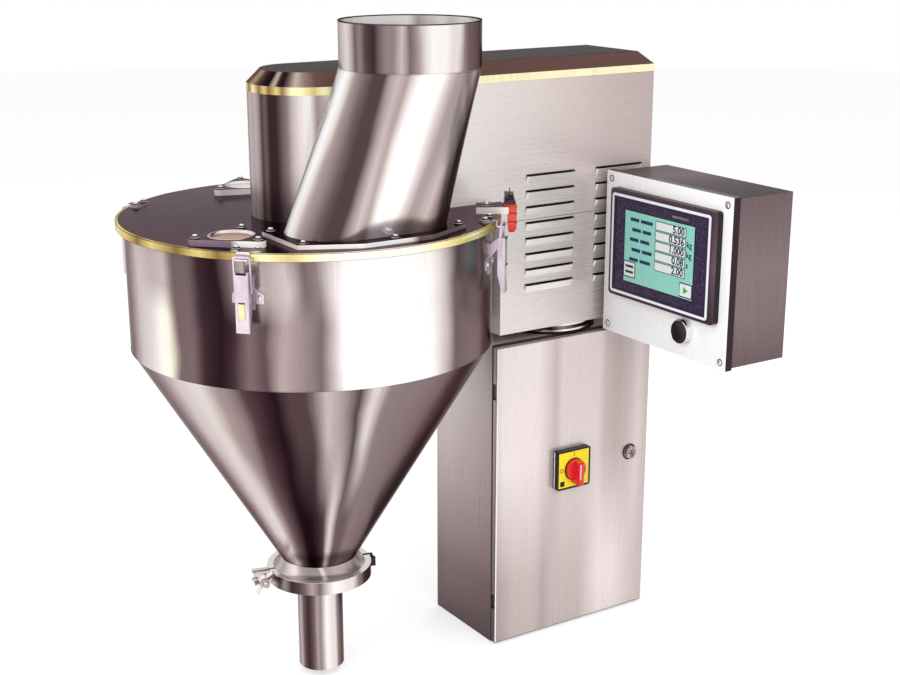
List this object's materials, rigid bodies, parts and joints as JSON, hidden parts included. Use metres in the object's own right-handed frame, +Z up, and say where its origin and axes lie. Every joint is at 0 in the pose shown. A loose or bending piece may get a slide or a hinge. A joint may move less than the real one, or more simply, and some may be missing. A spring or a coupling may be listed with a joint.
{
  "type": "auger filling machine",
  "caption": "Stainless auger filling machine: conical hopper with clamped lid, slanted infeed chute, drive hood, cabinet and touch-screen panel.",
  "frame": {"origin": "middle of the cabinet's underside, the face that is bolted down", "axes": "+X towards the cabinet's door side, +Y away from the hopper, +Z up"},
  "size_m": [0.6499, 0.853, 1.003],
  "materials": {
    "stainless_polished": "mirror-polished stainless steel",
    "stainless_brushed": "fine brushed stainless steel",
    "zinc_sheet": "plain galvanised sheet",
    "brass_trim": "polished brass-coloured trim",
    "chrome": "bright chrome",
    "black_plastic": "satin black plastic",
    "red_plastic": "semi-gloss red plastic",
    "white_plastic": "satin white plastic",
    "light_panel": "pale satin painted sheet",
    "clear_glass": "clear glass",
    "screen_glass": "screen behind glass"
  },
  "bodies": {
    "machine": {"auger_bearing": "stainless_brushed", "button_ring": "chrome", "cabinet_shell": "stainless_brushed", "chute_flange": "stainless_polished", "clamp_bolt": "stainless_polished", "door_hinges": "stainless_brushed", "hood_band": "brass_trim", "hood_roof": "stainless_brushed", "hood_shell": "stainless_brushed", "hopper_cone": "stainless_polished", "hopper_drum": "stainless_polished", "hopper_lid": "stainless_polished", "infeed_chute": "stainless_polished", "interlock_bracket": "stainless_brushed", "interlock_sensor": "red_plastic", "latch_bases": "stainless_polished", "latch_keepers": "stainless_polished", "louvres": "stainless_polished", "mounting_panel": "zinc_sheet", "nozzle": "stainless_polished", "outlet_clamp": "stainless_polished", "outlet_ferrule": "stainless_polished", "panel_box": "stainless_brushed", "panel_bracket": "stainless_brushed", "panel_cover": "light_panel", "pedestal": "stainless_polished", "screen_glass": "screen_glass", "screen_housing": "white_plastic", "sight_flanges": "stainless_polished", "sight_panes": "clear_glass"},
    "door": {"cabinet_door": "stainless_brushed", "switch_plate": "black_plastic", "lock_housing": "chrome"},
    "main_switch": {"switch_knob": "red_plastic"},
    "lock": {"lock_insert": "black_plastic"},
    "auger": {"auger": "stainless_polished", "drive_shaft": "stainless_polished"},
    "push_button": {"button_cap": "black_plastic"},
    "lever_front_right": {"latch_lever_front_right": "stainless_polished"},
    "bail_front_right": {"latch_bail_front_right": "stainless_polished"},
    "lever_rear_right": {"latch_lever_rear_right": "stainless_polished"},
    "bail_rear_right": {"latch_bail_rear_right": "stainless_polished"},
    "lever_rear_left": {"latch_lever_rear_left": "stainless_polished"},
    "bail_rear_left": {"latch_bail_rear_left": "stainless_polished"},
    "lever_front_left": {"latch_lever_front_left": "stainless_polished"},
    "bail_front_left": {"latch_bail_front_left": "stainless_polished"}
  },
  "joints": [
    {"name": "door_hinge", "type": "hinge", "parent": "machine", "child": "door", "pos_m": [0.0815, -0.145, 0.25], "axis": [0, 0, -1], "range_deg": [0, 110]},
    {"name": "main_switch_turn", "type": "hinge", "parent": "door", "child": "main_switch", "pos_m": [0.0985, -0.008, 0.278], "axis": [1, 0, 0], "range_deg": [0, 90]},
    {"name": "door_lock_turn", "type": "hinge", "parent": "door", "child": "lock", "pos_m": [0.0875, 0.1145, 0.2795], "axis": [1, 0, 0], "range_deg": [0, 90]},
    {"name": "auger_spin", "type": "hinge", "parent": "machine", "child": "auger", "pos_m": [0, -0.42, 0.4], "axis": [0, 0, 1], "continuous": true},
    {"name": "push_button_press", "type": "slide", "parent": "machine", "child": "push_button", "axis": [0, 1, 0], "range_m": [0, 0.004], "stiffness_N_per_m": 400, "springref_m": -0.001},
    {"name": "latch_front_right_open", "type": "hinge", "parent": "machine", "child": "lever_front_right", "pos_m": [0.19555, -0.619, 0.697], "axis": [-0.7133, -0.7009, 0], "range_deg": [0, 120]},
    {"name": "latch_front_right_bail", "type": "hinge", "parent": "lever_front_right", "child": "bail_front_right", "pos_m": [0.19555, -0.619, 0.675], "axis": [-0.7133, -0.7009, 0], "range_deg": [-120, 0]},
    {"name": "latch_rear_right_open", "type": "hinge", "parent": "machine", "child": "lever_rear_right", "pos_m": [0.199, -0.22445, 0.697], "axis": [0.7009, -0.7133, 0], "range_deg": [0, 120]},
    {"name": "latch_rear_right_bail", "type": "hinge", "parent": "lever_rear_right", "child": "bail_rear_right", "pos_m": [0.199, -0.22445, 0.675], "axis": [0.7009, -0.7133, 0], "range_deg": [-120, 0]},
    {"name": "latch_rear_left_open", "type": "hinge", "parent": "machine", "child": "lever_rear_left", "pos_m": [-0.199, -0.22445, 0.697], "axis": [0.7009, 0.7133, 0], "range_deg": [0, 120]},
    {"name": "latch_rear_left_bail", "type": "hinge", "parent": "lever_rear_left", "child": "bail_rear_left", "pos_m": [-0.199, -0.22445, 0.675], "axis": [0.7009, 0.7133, 0], "range_deg": [-120, 0]},
    {"name": "latch_front_left_open", "type": "hinge", "parent": "machine", "child": "lever_front_left", "pos_m": [-0.19555, -0.619, 0.697], "axis": [-0.7133, 0.7009, 0], "range_deg": [0, 120]},
    {"name": "latch_front_left_bail", "type": "hinge", "parent": "lever_front_left", "child": "bail_front_left", "pos_m": [-0.19555, -0.619, 0.675], "axis": [-0.7133, 0.7009, 0], "range_deg": [-120, 0]}
  ],
  "couplings": [
    {"joint": "latch_front_right_bail", "follows": "latch_front_right_open", "ratio": -1},
    {"joint": "latch_rear_right_bail", "follows": "latch_rear_right_open", "ratio": -1},
    {"joint": "latch_rear_left_bail", "follows": "latch_rear_left_open", "ratio": -1},
    {"joint": "latch_front_left_bail", "follows": "latch_front_left_open", "ratio": -1}
  ]
}
